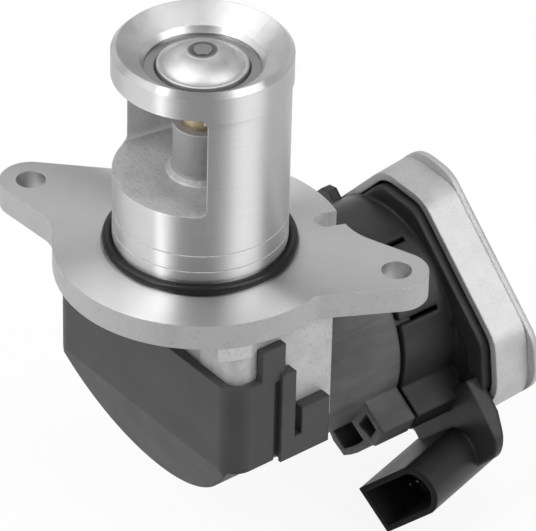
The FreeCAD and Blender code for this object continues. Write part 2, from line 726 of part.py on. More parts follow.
def mechanism_cap():
    inner_half = CAP_HALF_Y - CAP_WALL
    inner_front = CAP_FRONT + CAP_WALL
    shell = cap_plan(CAP_HALF_Y, CAP_FRONT, CAP_REAR, CAP_CORNER_R, CAP_FOLD, CAP_TOP)
    shell = fuse(shell, cap_bulge(CAP_BULGE_R, CAP_HALF_Y, CAP_FRONT, CAP_REAR, CAP_CORNER_R))
    room_top = cap_plan(inner_half, inner_front, CAP_REAR + 1, CAP_CORNER_R - CAP_WALL, CAP_FOLD + CAP_WALL,
                        CAP_TOP)
    room_low = cap_bulge(CAP_BULGE_R - CAP_WALL, inner_half, inner_front, CAP_REAR - CAP_WALL, CAP_CORNER_R - CAP_WALL)
    half = inner_half - 2 * CAP_WALL
    opening = box(inner_front, CAP_REAR - CAP_WALL, -half, half, CAP_FOLD - 0.5, CAP_FOLD + CAP_WALL)
    shell = shell.cut(room_top).cut(room_low).cut(opening)
    for side in (-1, 1):
        shell = dress_cap_side(shell, side)
    return shell.fuse(cap_lug(inner_half)).removeSplitter()


def cap_lug(inner_half):
    """Rounded latch lug on the far side wall."""
    reach = CAP_HALF_Y + LUG_PROUD
    lug = box(LUG_FROM, LUG_TO, inner_half, reach, LUG_BOTTOM, LUG_TOP)

    def outer_edge(edge):
        return edge.BoundBox.XLength > 1 and abs(edge.BoundBox.YMin - reach) < 0.001

    return fillet_where(lug, LUG_ROUND, outer_edge)


def dress_cap_side(shell, side):
    """Latch tab, proud band, groove and hooked notch on one side wall."""
    inner = CAP_HALF_Y - CAP_WALL
    proud = CAP_HALF_Y + STEP_PROUD

    def wall(x0, x1, y0, y1, z0, z1):
        low, high = sorted((side * y0, side * y1))
        return box(x0, x1, low, high, z0, z1)

    shell = shell.fuse(wall(TAB_FROM, TAB_TO, inner, CAP_HALF_Y, CAP_TOP, TAB_TOP))
    shell = shell.fuse(wall(STEP_FROM, CAP_REAR, CAP_HALF_Y, proud, CAP_FOLD - STEP_PROUD, CAP_TOP))
    shell = shell.cut(wall(NOTCH_FROM, CAP_REAR, inner, proud, NOTCH_TOP, CAP_TOP))
    shell = shell.cut(wall(NOTCH_FROM, NOTCH_FROM + SLOT_WIDTH, inner, proud, SLOT_BOTTOM, NOTCH_TOP))
    groove = wall(STEP_FROM - CAP_GROOVE, STEP_FROM, CAP_HALF_Y - 1.0, proud, CAP_FOLD, CAP_TOP - 1.4)
    return shell.cut(groove)


# Motor housing and the lower rib
def rib_outline(offset):
    """Corner points (y, z) of the rib boss beside the tube, grown by offset."""
    r = RIB_ROOT_R
    first = polar(r, 196.2)
    second = polar(RIB_SKIN_R + 1.0 + offset, 200.9)
    third = polar(RIB_SKIN_R + 1.2 + offset, 211.5)
    fourth = polar(RIB_SKIN_R - 0.6 + offset, 215.5)
    fifth = polar(r, 217.5)
    return [(TUBE_Y + y, TUBE_Z + z) for y, z in (first, second, third, fourth, fifth)]


def skin_outline():
    """Closed crescent skin below the tube, as outer arc and inner arc points."""
    outer = [polar(RIB_SKIN_R, a) for a in (214.0, 220.0, 226.0, 232.0, 238.0)]
    tail = [polar(TUBE_R + 3.2, 243.0), polar(RIB_ROOT_R, 245.0), polar(RIB_ROOT_R, 242.0)]
    inner = [polar(RIB_SKIN_R - RIB_SKIN_T, a) for a in (236.0, 230.0, 224.0, 218.0, 214.0)]
    return [(TUBE_Y + y, TUBE_Z + z) for y, z in outer + tail + inner]


def lower_rib(x0, x1, pocket_from, pocket_to):
    rib = prism_x(rib_outline(0.0), x0, x1)
    skin = prism_x(skin_outline(), x0, x1)
    web = [polar(RIB_ROOT_R, 215.0), polar(RIB_SKIN_R - 0.3, 213.5), polar(RIB_SKIN_R - 0.3, 217.0),
           polar(RIB_ROOT_R, 219.0)]
    web = prism_x([(TUBE_Y + y, TUBE_Z + z) for y, z in web], x0, x1)
    rib = fuse(rib, web, skin)
    corners = [polar(TUBE_R + 1.6, 202.0), polar(RIB_SKIN_R - 0.9, 204.0), polar(RIB_SKIN_R - 1.0, 211.0),
               polar(TUBE_R + 1.6, 213.5)]
    pocket = prism_x([(TUBE_Y + y, TUBE_Z + z) for y, z in corners], pocket_from, pocket_to)
    return rib.cut(pocket)


def motor_housing():
    """Cup that bolts to the block, with a spigot for the gear housing."""
    wall = TUBE_WALL_END
    end = JOINT_X - JOINT_GAP / 2
    cup = rod_x(TUBE_R, BLOCK_REAR, end, TUBE_Y, TUBE_Z)
    cup = cup.fuse(rod_x(SPIGOT_R, end, end + SPIGOT_LENGTH, TUBE_Y, TUBE_Z))
    cup = fuse(cup, lower_rib(RIB_FROM, end, RIB_FROM, RIB_FROM + RIB_POCKET))
    cup = cup.cut(rod_x(SPIGOT_R - TUBE_WALL, wall, end + SPIGOT_LENGTH, TUBE_Y, TUBE_Z))
    cup = cup.cut(rod_x(BEARING_R, BLOCK_REAR, wall, CRANK_Y, CRANK_Z))
    cup = cup.cut(rod_x(MOTOR_BOSS_R, BLOCK_REAR + BOSS_SKIN, wall, MOTOR_Y, MOTOR_Z))
    collar = tube_x(CAN_R + COLLAR_WALL, CAN_R + COLLAR_FIT, wall, wall + COLLAR_LENGTH, MOTOR_Y, MOTOR_Z)
    collar = collar.common(rod_x(SPIGOT_R - TUBE_WALL, wall, wall + COLLAR_LENGTH, TUBE_Y, TUBE_Z))
    cup = cup.fuse(collar)
    for angle in SCREW_ANGLES:
        y, z = polar(SCREW_CIRCLE_R, angle)
        cup = cup.cut(rod_x(SCREW_R, BLOCK_REAR, wall, TUBE_Y + y, TUBE_Z + z))
    return cup.removeSplitter()


def housing_screws():
    wall = TUBE_WALL_END
    screws = []
    for angle in SCREW_ANGLES:
        y, z = polar(SCREW_CIRCLE_R, angle)
        shank = rod_x(SCREW_R, BLOCK_REAR - SCREW_DEPTH + 0.4, wall, TUBE_Y + y, TUBE_Z + z)
        head = rod_x(SCREW_HEAD_R, wall, wall + SCREW_HEAD_T, TUBE_Y + y, TUBE_Z + z)
        key = rod_x(SCREW_R * 0.8, wall + SCREW_HEAD_T / 2, wall + SCREW_HEAD_T, TUBE_Y + y, TUBE_Z + z)
        screws.append(fuse(shank, head).cut(key))
    return Part.makeCompound(screws)


# Motor
def motor_can():
    can = rod_x(CAN_R, CAN_FRONT, CAN_REAR, MOTOR_Y, MOTOR_Z)
    can = can.cut(rod_x(CAN_BORE_R, CAN_FRONT + CAN_WALL, CAN_REAR, MOTOR_Y, MOTOR_Z))
    boss = rod_x(MOTOR_BOSS_R, BLOCK_REAR + 1.0, CAN_FRONT + CAN_WALL, MOTOR_Y, MOTOR_Z)
    can = fuse(can, boss)
    return can.cut(rod_x(MOTOR_SHAFT_R + SHAFT_GAP, BLOCK_REAR + 1.6, CAN_FRONT + CAN_WALL, MOTOR_Y, MOTOR_Z))


def motor_magnets():
    ring = tube_x(CAN_BORE_R, MAGNET_BORE_R, ARMATURE_FRONT - 1, ARMATURE_REAR + 1, MOTOR_Y, MOTOR_Z)
    gap = box(ARMATURE_FRONT - 2, ARMATURE_REAR + 2, MOTOR_Y - 2.5, MOTOR_Y + 2.5, MOTOR_Z - CAN_R, MOTOR_Z + CAN_R)
    return ring.cut(gap)


def motor_end_cap():
    """Moulded end of the motor, with the rear bearing boss and two brush ways."""
    cap = rod_x(CAN_R, CAN_REAR, CAN_REAR + 2.0, MOTOR_Y, MOTOR_Z)
    plug = tube_x(CAN_BORE_R, CAN_BORE_R - 1.5, CAN_REAR - 3.0, CAN_REAR, MOTOR_Y, MOTOR_Z)
    boss = rod_x(MOTOR_BOSS_R, CAN_REAR + 2.0, FLOOR_REAR - 1.0, MOTOR_Y, MOTOR_Z)
    ways = box(CAN_REAR - 4.0, CAN_REAR, MOTOR_Y - BRUSH_W, MOTOR_Y + BRUSH_W, MOTOR_Z - CAN_BORE_R + 0.6,
               MOTOR_Z + CAN_BORE_R - 0.6)
    ways = ways.cut(rod_x(COMMUTATOR_R + 0.6, CAN_REAR - 4.0, CAN_REAR, MOTOR_Y, MOTOR_Z))
    cap = fuse(cap, plug, boss, ways)
    channel = box(CAN_REAR - 3.4, CAN_REAR - 1.0, MOTOR_Y - BRUSH_W / 2, MOTOR_Y + BRUSH_W / 2,
                  MOTOR_Z - CAN_BORE_R + 2.0, MOTOR_Z + CAN_BORE_R - 2.0)
    cap = cap.cut(channel)
    return cap.cut(rod_x(MOTOR_SHAFT_R + SHAFT_GAP, CAN_REAR - 1, FLOOR_REAR - 1.0, MOTOR_Y, MOTOR_Z))


def brushes():
    parts = []
    for side in (-1, 1):
        low, high = sorted((side * (COMMUTATOR_R + 0.1), side * (CAN_BORE_R - 2.0)))
        brush = box(CAN_REAR - 3.4, CAN_REAR - 1.0, MOTOR_Y - BRUSH_W / 2, MOTOR_Y + BRUSH_W / 2,
                    MOTOR_Z + low, MOTOR_Z + high)
        parts.append(brush.cut(rod_x(COMMUTATOR_R + 0.1, CAN_REAR - 5, CAN_REAR, MOTOR_Y, MOTOR_Z)))
    return Part.makeCompound(parts)


def motor_shaft():
    return rod_x(MOTOR_SHAFT_R, BLOCK_REAR + 1.8, WHEEL_FACE[1], MOTOR_Y, MOTOR_Z)


def armature():
    """Slotted iron core on the motor shaft."""
    core = rod_x(ARMATURE_R, ARMATURE_FRONT, ARMATURE_REAR, MOTOR_Y, MOTOR_Z)
    for k in range(5):
        y, z = polar(ARMATURE_R - 2.6, 72.0 * k)
        core = core.cut(rod_x(1.7, ARMATURE_FRONT, ARMATURE_REAR, MOTOR_Y + y, MOTOR_Z + z))
        mouth = box(ARMATURE_FRONT, ARMATURE_REAR, ARMATURE_R - 2.6, ARMATURE_R + 1, -0.5, 0.5)
        mouth.rotate(V(0, 0, 0), X_AXIS, 72.0 * k)
        mouth.translate(V(0, MOTOR_Y, MOTOR_Z))
        core = core.cut(mouth)
    return core.cut(rod_x(MOTOR_SHAFT_R, ARMATURE_FRONT, ARMATURE_REAR, MOTOR_Y, MOTOR_Z))


def windings():
    """Coil heads at both ends of the core, joined by the coils in its slots."""
    outer = ARMATURE_R - 1.2
    parts = []
    for x0 in (ARMATURE_FRONT - WINDING_OVERHANG, ARMATURE_REAR):
        parts.append(tube_x(outer, 2.6, x0, x0 + WINDING_OVERHANG, MOTOR_Y, MOTOR_Z))
    for k in range(5):
        y, z = polar(ARMATURE_R - 2.6, 72.0 * k)
        parts.append(rod_x(1.5, ARMATURE_FRONT - 0.5, ARMATURE_REAR + 0.5, MOTOR_Y + y, MOTOR_Z + z))
    return fuse(*parts)


def commutator():
    front = ARMATURE_REAR + WINDING_OVERHANG
    drum = tube_x(COMMUTATOR_R, MOTOR_SHAFT_R, front, CAN_REAR - 0.6, MOTOR_Y, MOTOR_Z)
    for k in range(5):
        slit = box(front, CAN_REAR, COMMUTATOR_R - 0.6, COMMUTATOR_R + 1, -0.2, 0.2)
        slit.rotate(V(0, 0, 0), X_AXIS, 72.0 * k + 36.0)
        slit.translate(V(0, MOTOR_Y, MOTOR_Z))
        drum = drum.cut(slit)
    return drum


# Gear housing, cover and lid
def case_point(s, t):
    """Point (y, z) from the long and short coordinates of the turned case."""
    a = math.radians(CASE_TILT)
    return -s * math.cos(a) + t * math.sin(a), -s * math.sin(a) - t * math.cos(a)


def case_wire(x, inset, cut_long=CASE_CHAMFER_LONG, cut_short=CASE_CHAMFER_SHORT):
    """Rounded outline of the case in the plane at x, moved in by inset."""
    s0, s1 = CASE_START_LONG, CASE_START_LONG + CASE_LONG
    t0, t1 = CASE_START_SHORT, CASE_START_SHORT + CASE_SHORT
    corners = [(s0 + cut_long, t0), (s1 - cut_long, t0), (s1, t0 + cut_short), (s1, t1 - cut_short),
               (s1 - cut_long, t1), (s0 + cut_long, t1), (s0, t1 - cut_short), (s0, t0 + cut_short)]
    points = [V(x, *case_point(s, t)) for s, t in corners]
    plate = Part.Face(Part.makePolygon(points + points[:1])).extrude(X_AXIS)
    plate = plate.makeFillet(CASE_CORNER_R, [e for e in plate.Edges if edge_along_x(e)])
    face = [f for f in plate.Faces if f.BoundBox.XLength < 0.001 and abs(f.BoundBox.XMin - x) < 0.001][0]
    return face.OuterWire if inset == 0 else face.OuterWire.makeOffset2D(-inset)


def edge_along_x(edge):
    p, q = edge.Vertexes[0].Point, edge.Vertexes[-1].Point
    return abs(p.x - q.x) > 0.5 and math.hypot(p.y - q.y, p.z - q.z) < 0.001


def case_plate(x0, x1, inset):
    return Part.Face(case_wire(x0, inset)).extrude(V(x1 - x0, 0, 0))


def gear_cover():
    """Aluminium frame, slightly wider towards its outer end."""
    outer = Part.makeLoft([case_wire(COVER_FROM, 0), case_wire(COVER_TO, -COVER_FLARE)], True, True)
    return outer.cut(case_plate(COVER_FROM, COVER_TO, COVER_WALL))


def cover_lid():
    """End plate with fuller corners than the frame and a stepped edge."""
    outline = case_wire(LID_FRONT, -COVER_FLARE, LID_CHAMFER_LONG, LID_CHAMFER_SHORT)
    plate = Part.Face(outline).extrude(V(LID_T, 0, 0))

    def outer_rim(edge):
        return edge.BoundBox.XLength < 0.001 and abs(edge.BoundBox.XMin - LID_FRONT - LID_T) < 0.001

    return plate.makeChamfer(LID_EDGE, [e for e in plate.Edges if outer_rim(e)])


def cover_seal():
    inner = COVER_WALL + COVER_GAP + CASE_WALL
    ring = case_plate(COVER_TO - SEAL_HEIGHT, COVER_TO, COVER_WALL)
    return ring.cut(case_plate(COVER_TO - SEAL_HEIGHT, COVER_TO, inner))


def plug_place(shape):
    """Turn a shape drawn along +X with its mouth at the origin to the connector's place."""
    shape.rotate(V(0, 0, 0), X_AXIS, -PLUG_ROLL)
    shape.rotate(V(0, 0, 0), Z_AXIS, PLUG_TURN)
    shape.translate(V(*PLUG_MOUTH))
    return shape


def plug_wire(x, inset):
    """D-shaped outline: a straight end, two long sides and a round end."""
    long_, tall = PLUG_LONG, PLUG_HEIGHT
    shift_y, shift_z = 0.5 * (long_ + PLUG_ROUND), 0.5 * tall
    a = V(x, shift_y, -shift_z)
    b = V(x, shift_y - long_, -shift_z)
    c = V(x, shift_y - long_ - PLUG_ROUND, 0)
    d = V(x, shift_y - long_, shift_z)
    e = V(x, shift_y, shift_z)
    edges = [Part.makeLine(a, b), Part.Arc(b, c, d).toShape(), Part.makeLine(d, e), Part.makeLine(e, a)]
    wire = Part.Wire(edges)
    return wire if inset == 0 else wire.makeOffset2D(-inset)


def plug_solid(x0, x1, inset):
    return plug_place(Part.Face(plug_wire(x0, inset)).extrude(V(x1 - x0, 0, 0)))


def neck_solid():
    """Moulded neck between the gear case and the connector, rounded below."""
    (s0, s1), (t0, t1) = NECK_LONG, NECK_SHORT
    corners = [(s0, t0), (s1, t0), (s1, t1), (s0, t1)]
    neck = prism_x([case_point(s, t) for s, t in corners], NECK_FROM, NECK_TO)
    low = [case_point(s1, t) for t in (t0, t1)]

    def low_edge(edge):
        p = edge.Vertexes[0].Point
        return edge_along_x(edge) and any(math.hypot(p.y - y, p.z - z) < 0.01 for y, z in low)

    neck = fillet_where(neck, NECK_R, low_edge)
    section = [(NECK_TO, NECK_THIN_FROM), (NECK_TO + 1, NECK_THIN_FROM), (NECK_TO + 1, s1 + 1),
               (NECK_FROM + NECK_THIN, s1 + 1), (NECK_FROM + NECK_THIN, s1)]
    points = [V(x, *case_point(s, t0 - 1)) for x, s in section]
    across = V(0, *case_point(0, 1)) * (t1 - t0 + 2)
    return neck.cut(Part.Face(Part.makePolygon(points + points[:1])).extrude(across))


def case_lug():
    """Latch lug beside the case, in front of the aluminium frame."""
    (s0, s1), (t0, t1) = CASE_LUG_LONG, CASE_LUG_SHORT
    corners = [(s0 + 1.5, t0), (s1, t0), (s1, t1), (s0 + 1.5, t1), (s0, t1 - 2.0), (s0, t0 + 2.0)]
    end = COVER_FROM - 0.4
    return prism_x([case_point(s, t) for s, t in corners], end - CASE_LUG_T, end)


def sleeve_slits(start):
    """Two slits that free a snap finger in the sleeve."""
    slits = []
    for angle in SLIT_ANGLES:
        slit = box(start, SLIT_END, SPIGOT_R - 1, SLEEVE_R + 1, -SLIT_WIDTH / 2, SLIT_WIDTH / 2)
        slit.rotate(V(0, 0, 0), X_AXIS, angle)
        slit.translate(V(0, TUBE_Y, TUBE_Z))
        slits.append(slit)
    return slits


def cover_room():
    """Space kept free for the aluminium frame around the case wall."""
    free = case_plate(COVER_FROM - 0.4, COVER_TO, -COVER_FLARE - 0.4)
    return free.cut(case_plate(COVER_FROM - 0.4, COVER_TO, COVER_WALL + COVER_GAP))


def gear_housing():
    """Sleeve on the motor tube, gear case and connector in one moulding."""
    start = JOINT_X + JOINT_GAP / 2
    lip_inset = COVER_WALL + COVER_GAP
    lip = case_plate(LIP_FROM, LIP_FROM + LIP_T, lip_inset)
    lip = lip.cut(case_plate(LIP_FROM, LIP_FROM + LIP_RECESS, lip_inset + LIP_BAND))
    wall = case_plate(LIP_FROM + LIP_RECESS, COVER_TO - SEAL_HEIGHT, lip_inset)
    sleeve = rod_x(SLEEVE_R, start, LIP_FROM + LIP_RECESS, TUBE_Y, TUBE_Z)
    rib = lower_rib(start, LIP_FROM + LIP_RECESS, start, start + 4.0)
    plug = fuse(neck_solid(), plug_solid(0, PLUG_LENGTH, 0)).cut(cover_room())
    body = fuse(sleeve, lip, wall, rib, plug, case_lug())
    body = body.cut(rod_x(SPIGOT_R + 0.05, start, FLOOR_FRONT, TUBE_Y, TUBE_Z))
    body = body.cut(case_plate(FLOOR_REAR, COVER_TO, lip_inset + CASE_WALL))
    body = body.cut(rod_x(BEARING_R, FLOOR_FRONT, FLOOR_REAR, CRANK_Y, CRANK_Z))
    body = body.cut(rod_x(MOTOR_BOSS_R + 0.1, FLOOR_FRONT, FLOOR_REAR, MOTOR_Y, MOTOR_Z))
    body = body.cut(rod_x(LAY_PIN_R, FLOOR_FRONT, FLOOR_REAR, LAY_Y, LAY_Z))
    body = body.cut(plug_solid(0, SOCKET_DEPTH, PLUG_WALL))
    for slit in sleeve_slits(start):
        body = body.cut(slit)
    return body.removeSplitter()


def connector_pins():
    parts = []
    wide, thick = PIN_SIZE
    for k in range(PIN_COUNT):
        offset = (k - (PIN_COUNT - 1) / 2) * PIN_PITCH
        pin = box(SOCKET_DEPTH - PIN_LENGTH, SOCKET_DEPTH, offset - wide / 2, offset + wide / 2, -thick / 2,
                  thick / 2)
        parts.append(plug_place(pin))
    return Part.makeCompound(parts)


def sensor_board():
    """Circuit board on the lid, facing the magnet."""
    board = box(LID_FRONT - BOARD_T, LID_FRONT, -BOARD_HALF_W, BOARD_HALF_W, -BOARD_HALF_H, BOARD_HALF_H)
    board.rotate(V(0, 0, 0), X_AXIS, CASE_TILT)
    board.translate(V(0, CRANK_Y, CRANK_Z))
    return board


def o_ring():
    return Part.makeTorus(RING_R, RING_WIRE_R, V(0, 0, RING_WIRE_R - RING_RECESS), Z_AXIS)


PARTS = {
    "valve_body": valve_body,
    "flange_o_ring": o_ring,
    "seat_ring": seat_ring,
    "valve_head": valve_head,
    "valve_stem": valve_stem,
    "guide_bush": guide_bush,
    "stem_seal": stem_seal,
    "closing_spring": closing_spring,
    "spring_retainer": spring_retainer,
    "stem_yoke": yoke,
    "crankshaft": crankshaft,
    "crank_roller": crank_roller,
    "crank_front_bearing": front_bearing,
    "crank_rear_bearing": rear_bearing,
    "crank_shaft_seal": shaft_seal,
    "sector_gear": sector_gear,
    "sensor_magnet": sensor_magnet,
    "mechanism_cap": mechanism_cap,
    "motor_housing": motor_housing,
    "motor_housing_screws": housing_screws,
    "motor_can": motor_can,
    "motor_magnets": motor_magnets,
    "motor_end_cap": motor_end_cap,
    "motor_brushes": brushes,
    "motor_shaft": motor_shaft,
    "armature_core": armature,
    "armature_windings": windings,
    "commutator": commutator,
    "motor_pinion": motor_pinion,
    "layshaft_gear": layshaft_gear,
    "layshaft_pin": layshaft_pin,
    "gear_housing": gear_housing,
    "connector_pins": connector_pins,
    "gear_cover": gear_cover,
    "cover_seal": cover_seal,
    "cover_lid": cover_lid,
    "sensor_board": sensor_board,
}


def main():
    os.makedirs("parts", exist_ok=True)
    for node, make in PARTS.items():
        shape = make()
        solids = len(shape.Solids)
        print(node, solids, round(shape.Volume, 1), shape.isValid())
        shape.exportStep("parts/" + node + ".step")


main()
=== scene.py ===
# %% [markdown]
# This scene dresses an exhaust gas recirculation valve that was drawn as solids. The solids keep
# their places and sizes; here they get their finishes, and a few pieces are shaped by hand: the valve's
# domed head, the closing spring, two packages on the sensor board and a web in the casting.
# Everything is in metres, on the barrel's axis, with the flange's face at height zero.

# %% Load the frame
import json
import math

import bpy
from mathutils import Matrix, Vector


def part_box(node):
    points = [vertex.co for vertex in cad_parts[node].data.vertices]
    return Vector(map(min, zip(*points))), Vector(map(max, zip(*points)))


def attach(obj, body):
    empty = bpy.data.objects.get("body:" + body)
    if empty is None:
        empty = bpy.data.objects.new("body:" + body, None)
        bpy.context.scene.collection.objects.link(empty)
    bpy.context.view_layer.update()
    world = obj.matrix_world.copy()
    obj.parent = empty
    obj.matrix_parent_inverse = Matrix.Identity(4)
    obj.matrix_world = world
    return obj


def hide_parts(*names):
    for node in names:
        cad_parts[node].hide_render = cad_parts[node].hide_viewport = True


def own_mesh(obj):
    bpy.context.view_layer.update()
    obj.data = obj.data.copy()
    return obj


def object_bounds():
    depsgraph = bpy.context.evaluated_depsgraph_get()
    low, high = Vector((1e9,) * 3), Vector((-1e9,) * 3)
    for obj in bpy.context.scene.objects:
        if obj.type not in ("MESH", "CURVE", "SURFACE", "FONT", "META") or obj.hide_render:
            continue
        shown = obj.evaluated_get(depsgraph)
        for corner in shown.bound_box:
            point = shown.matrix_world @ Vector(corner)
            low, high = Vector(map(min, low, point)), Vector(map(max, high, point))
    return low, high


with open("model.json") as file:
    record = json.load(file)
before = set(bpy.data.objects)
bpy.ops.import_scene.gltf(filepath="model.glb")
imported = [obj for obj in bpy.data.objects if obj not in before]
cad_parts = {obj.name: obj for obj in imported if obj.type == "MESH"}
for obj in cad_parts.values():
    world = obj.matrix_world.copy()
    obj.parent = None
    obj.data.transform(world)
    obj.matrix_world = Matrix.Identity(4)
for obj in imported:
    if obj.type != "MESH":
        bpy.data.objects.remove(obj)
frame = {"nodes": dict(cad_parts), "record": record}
nodes = frame["nodes"]
cad_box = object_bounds()

# %% [markdown]
# The photograph was taken from about a metre away with a long lens, looking down on the flange. The
# camera's place and its three axes follow from the flange circle, the barrel and the gear cover.
# A camera could also be aimed with a Track To constraint, but a plain matrix has nothing to go stale.

# %% Camera
OBJECT_TURN = math.radians(38.5)
CAMERA_FAR = 1.0
CAMERA_ABOVE = math.radians(34.883)
CAMERA_SWING = math.radians(1.035)
CAMERA_DIP = math.radians(-0.303)
CAMERA_ROLL = math.radians(1.436)
FOCAL_PIXELS = 4624.873
FRAME_PIXELS = 536
SENSOR_WIDTH = 36.0


def camera_axes():
    low = -CAMERA_ABOVE + CAMERA_DIP
    across = math.cos(low)
    ahead = Vector((math.sin(CAMERA_SWING) * across, math.cos(CAMERA_SWING) * across, math.sin(low)))
    level = ahead.cross(Vector((0, 0, 1))).normalized()
    upright = level.cross(ahead)
    c, s = math.cos(CAMERA_ROLL), math.sin(CAMERA_ROLL)
    return level * c + upright * s, upright * c - level * s, ahead


right, up, ahead = camera_axes()
to_object = Matrix.Rotation(-OBJECT_TURN, 3, "Z")
right, up, ahead = to_object @ right, to_object @ up, to_object @ ahead
stand = to_object @ Vector((0, -CAMERA_FAR * math.cos(CAMERA_ABOVE), CAMERA_FAR * math.sin(CAMERA_ABOVE)))
turned = Matrix((right, up, -ahead)).transposed().to_4x4()
camera = bpy.data.objects.new("camera", bpy.data.cameras.new("camera"))
camera.data.sensor_width = SENSOR_WIDTH
camera.data.lens = FOCAL_PIXELS / FRAME_PIXELS * SENSOR_WIDTH
camera.matrix_world = Matrix.Translation(stand) @ turned
bpy.context.scene.collection.objects.link(camera)
bpy.context.scene.camera = camera
print("camera at", [round(v, 4) for v in stand], "lens", round(camera.data.lens, 1))

# %% [markdown]
# A finish is a small network of shader nodes. Written out link by link it is hard to read, so a
# thin class wraps a socket and lets ordinary sums add the Math nodes. One method adds any other node.

# %% Shader sums
class Wire:
    """An output socket that ordinary sums can be done with."""

    def __init__(self, finish, socket):
        self.finish = finish
        self.socket = socket

    def maths(self, operation, *others):
        return self.finish.node("Math", {"operation": operation}, dict(enumerate((self,) + others)))

    def __add__(self, other):
        return self.maths("ADD", other)

    def __sub__(self, other):
        return self.maths("SUBTRACT", other)

    def __rsub__(self, other):
        return self.finish.node("Math", {"operation": "SUBTRACT"}, {0: other, 1: self})

    def __mul__(self, other):
        return self.maths("MULTIPLY", other)

    def __truediv__(self, other):
        return self.maths("DIVIDE", other)

    __radd__ = __add__
    __rmul__ = __mul__

    def above(self, level):
        return self.maths("GREATER_THAN", level)

    def below(self, level):
        return self.maths("LESS_THAN", level)

    def between(self, low, high):
        return self.above(low) * self.below(high)

    def at_least(self, other):
        return self.maths("MAXIMUM", other)

    def root(self):
        return self.maths("SQRT")


class Finish:
    """A material being made: node() adds a node, and the other methods are common steps."""

    def __init__(self, name):
        self.material = bpy.data.materials.new(name)
        self.material.use_nodes = True
        self.tree = self.material.node_tree
        self.shader = self.tree.nodes["Principled BSDF"]
        place = self.tree.nodes.new("ShaderNodeTexCoord")
        self.place = Wire(self, place.outputs["Object"])

    def plug(self, socket, value):
        if isinstance(value, Wire):
            self.tree.links.new(value.socket, socket)
        elif isinstance(value, tuple) and len(value) == 3 and socket.type == "RGBA":
            socket.default_value = value + (1.0,)
        else:
            socket.default_value = value

    def node(self, kind, settings=None, sockets=None, out=0):
        new = self.tree.nodes.new("ShaderNode" + kind)
        for name, value in (settings or {}).items():
            setattr(new, name, value)
        for name, value in (sockets or {}).items():
            self.plug(new.inputs[name], value)
        return Wire(self, new.outputs[out])

    def xyz(self, vector=None):
        parts = self.tree.nodes.new("ShaderNodeSeparateXYZ")
        self.plug(parts.inputs[0], vector or self.place)
        return [Wire(self, socket) for socket in parts.outputs]

    def surface_normal(self):
        return self.node("NewGeometry", out=1)

    def facing(self):
        return self.xyz(self.surface_normal())

    def vector(self, x, y, z):
        return self.node("CombineXYZ", None, {0: x, 1: y, 2: z})

    def noise(self, scale, detail=2.0, vector=None, rough=0.5):
        sockets = {"Vector": vector or self.place, "Scale": scale, "Detail": detail, "Roughness": rough}
        return self.node("TexNoise", None, sockets)

    def spread(self, wire, low, high, to_low=0.0, to_high=1.0):
        """Carry the span from low to high over to another span, and hold it at the ends."""
        return self.node("MapRange", None, {0: wire, 1: low, 2: high, 3: to_low, 4: to_high})

    def mixed(self, share, first, second):
        return self.node("Mix", {"data_type": "RGBA"}, {0: share, 6: first, 7: second}, out=2)

    def bump(self, height, strength, distance, normal=None):
        sockets = {"Height": height, "Strength": strength, "Distance": distance}
        if normal:
            sockets["Normal"] = normal
        return self.node("Bump", None, sockets)

    def near_any(self, x, y, centres, reach):
        """1 within reach of any of the centres, seen from above."""
        found = 0.0
        for cx, cy in centres:
            dx, dy = x - cx, y - cy
            found = (dx * dx + dy * dy).root().below(reach) + found
        return found

    def leaned(self, normal, direction, amount):
        """A normal leaned towards a direction, as on a rounded or steeper edge."""
        push = self.node("VectorMath", {"operation": "SCALE"}, {0: direction, "Scale": amount})
        both = self.node("VectorMath", {"operation": "ADD"}, {0: normal, 1: push})
        return self.node("VectorMath", {"operation": "NORMALIZE"}, {0: both})

    def round_edges(self, radius):
        return self.node("Bevel", {"samples": 4}, {"Radius": radius})

    def fill(self, shader, **sockets):
        for name, value in sockets.items():
            self.plug(shader.inputs[name.replace("_", " ").title().replace("Ior", "IOR")], value)

    def set(self, **sockets):
        self.fill(self.shader, **sockets)

    def second_shader(self):
        """Another shader for the same material; share_between puts it in."""
        return self.tree.nodes.new("ShaderNodeBsdfPrincipled")

    def share_between(self, share, other):
        """Show the other shader where share is 1."""
        both = self.tree.nodes.new("ShaderNodeMixShader")
        self.plug(both.inputs[0], share)
        self.tree.links.new(self.shader.outputs[0], both.inputs[1])
        self.tree.links.new(other.outputs[0], both.inputs[2])
        self.tree.links.new(both.outputs[0], self.tree.nodes["Material Output"].inputs[0])


finishes = {}


def grey(level, warm=0.0):
    """A grey, or a slightly warm or cold one."""
    return (level * (1 + warm), level, level * (1 - warm))


print("shader sums ready")
